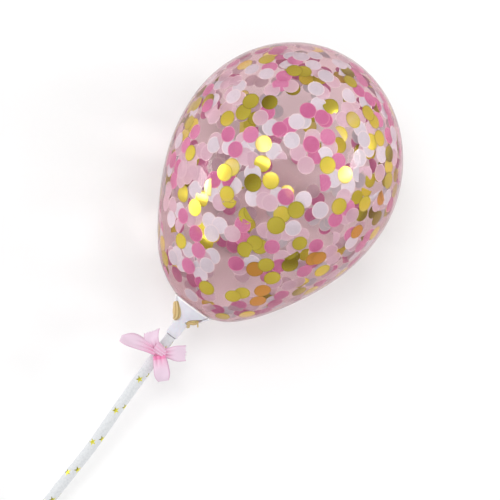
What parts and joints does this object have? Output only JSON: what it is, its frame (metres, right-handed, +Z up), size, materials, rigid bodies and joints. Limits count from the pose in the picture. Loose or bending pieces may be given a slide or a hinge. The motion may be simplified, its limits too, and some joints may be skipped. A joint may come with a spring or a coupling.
{
  "type": "balloon cake topper",
  "caption": "Small confetti-filled pear-shaped balloon in a slit plastic cup on a star-printed paper straw, tied with a ribbon bow, lying down.",
  "frame": {"origin": "middle of the underside of the whole topper's box, on the surface that it lies on", "axes": "+X along the topper from the straw's free end to the balloon's crown, +Y to the left of the straw as seen from above with the balloon ahead, +Z up"},
  "size_m": [0.363, 0.1272, 0.1269],
  "materials": {
    "pink_latex": "clear, glossy, tinted pink; the bunched neck is amber natural latex",
    "white_polypropylene": "moulded, satin",
    "printed_paper": "matte white paper with small gold foil stars",
    "pink_satin": "satin weave ribbon"
  },
  "bodies": {
    "root": {"balloon": "pink_latex", "balloon_cup": "white_polypropylene", "paper_straw": "printed_paper", "ribbon_bow": "pink_satin"}
  },
  "joints": []
}
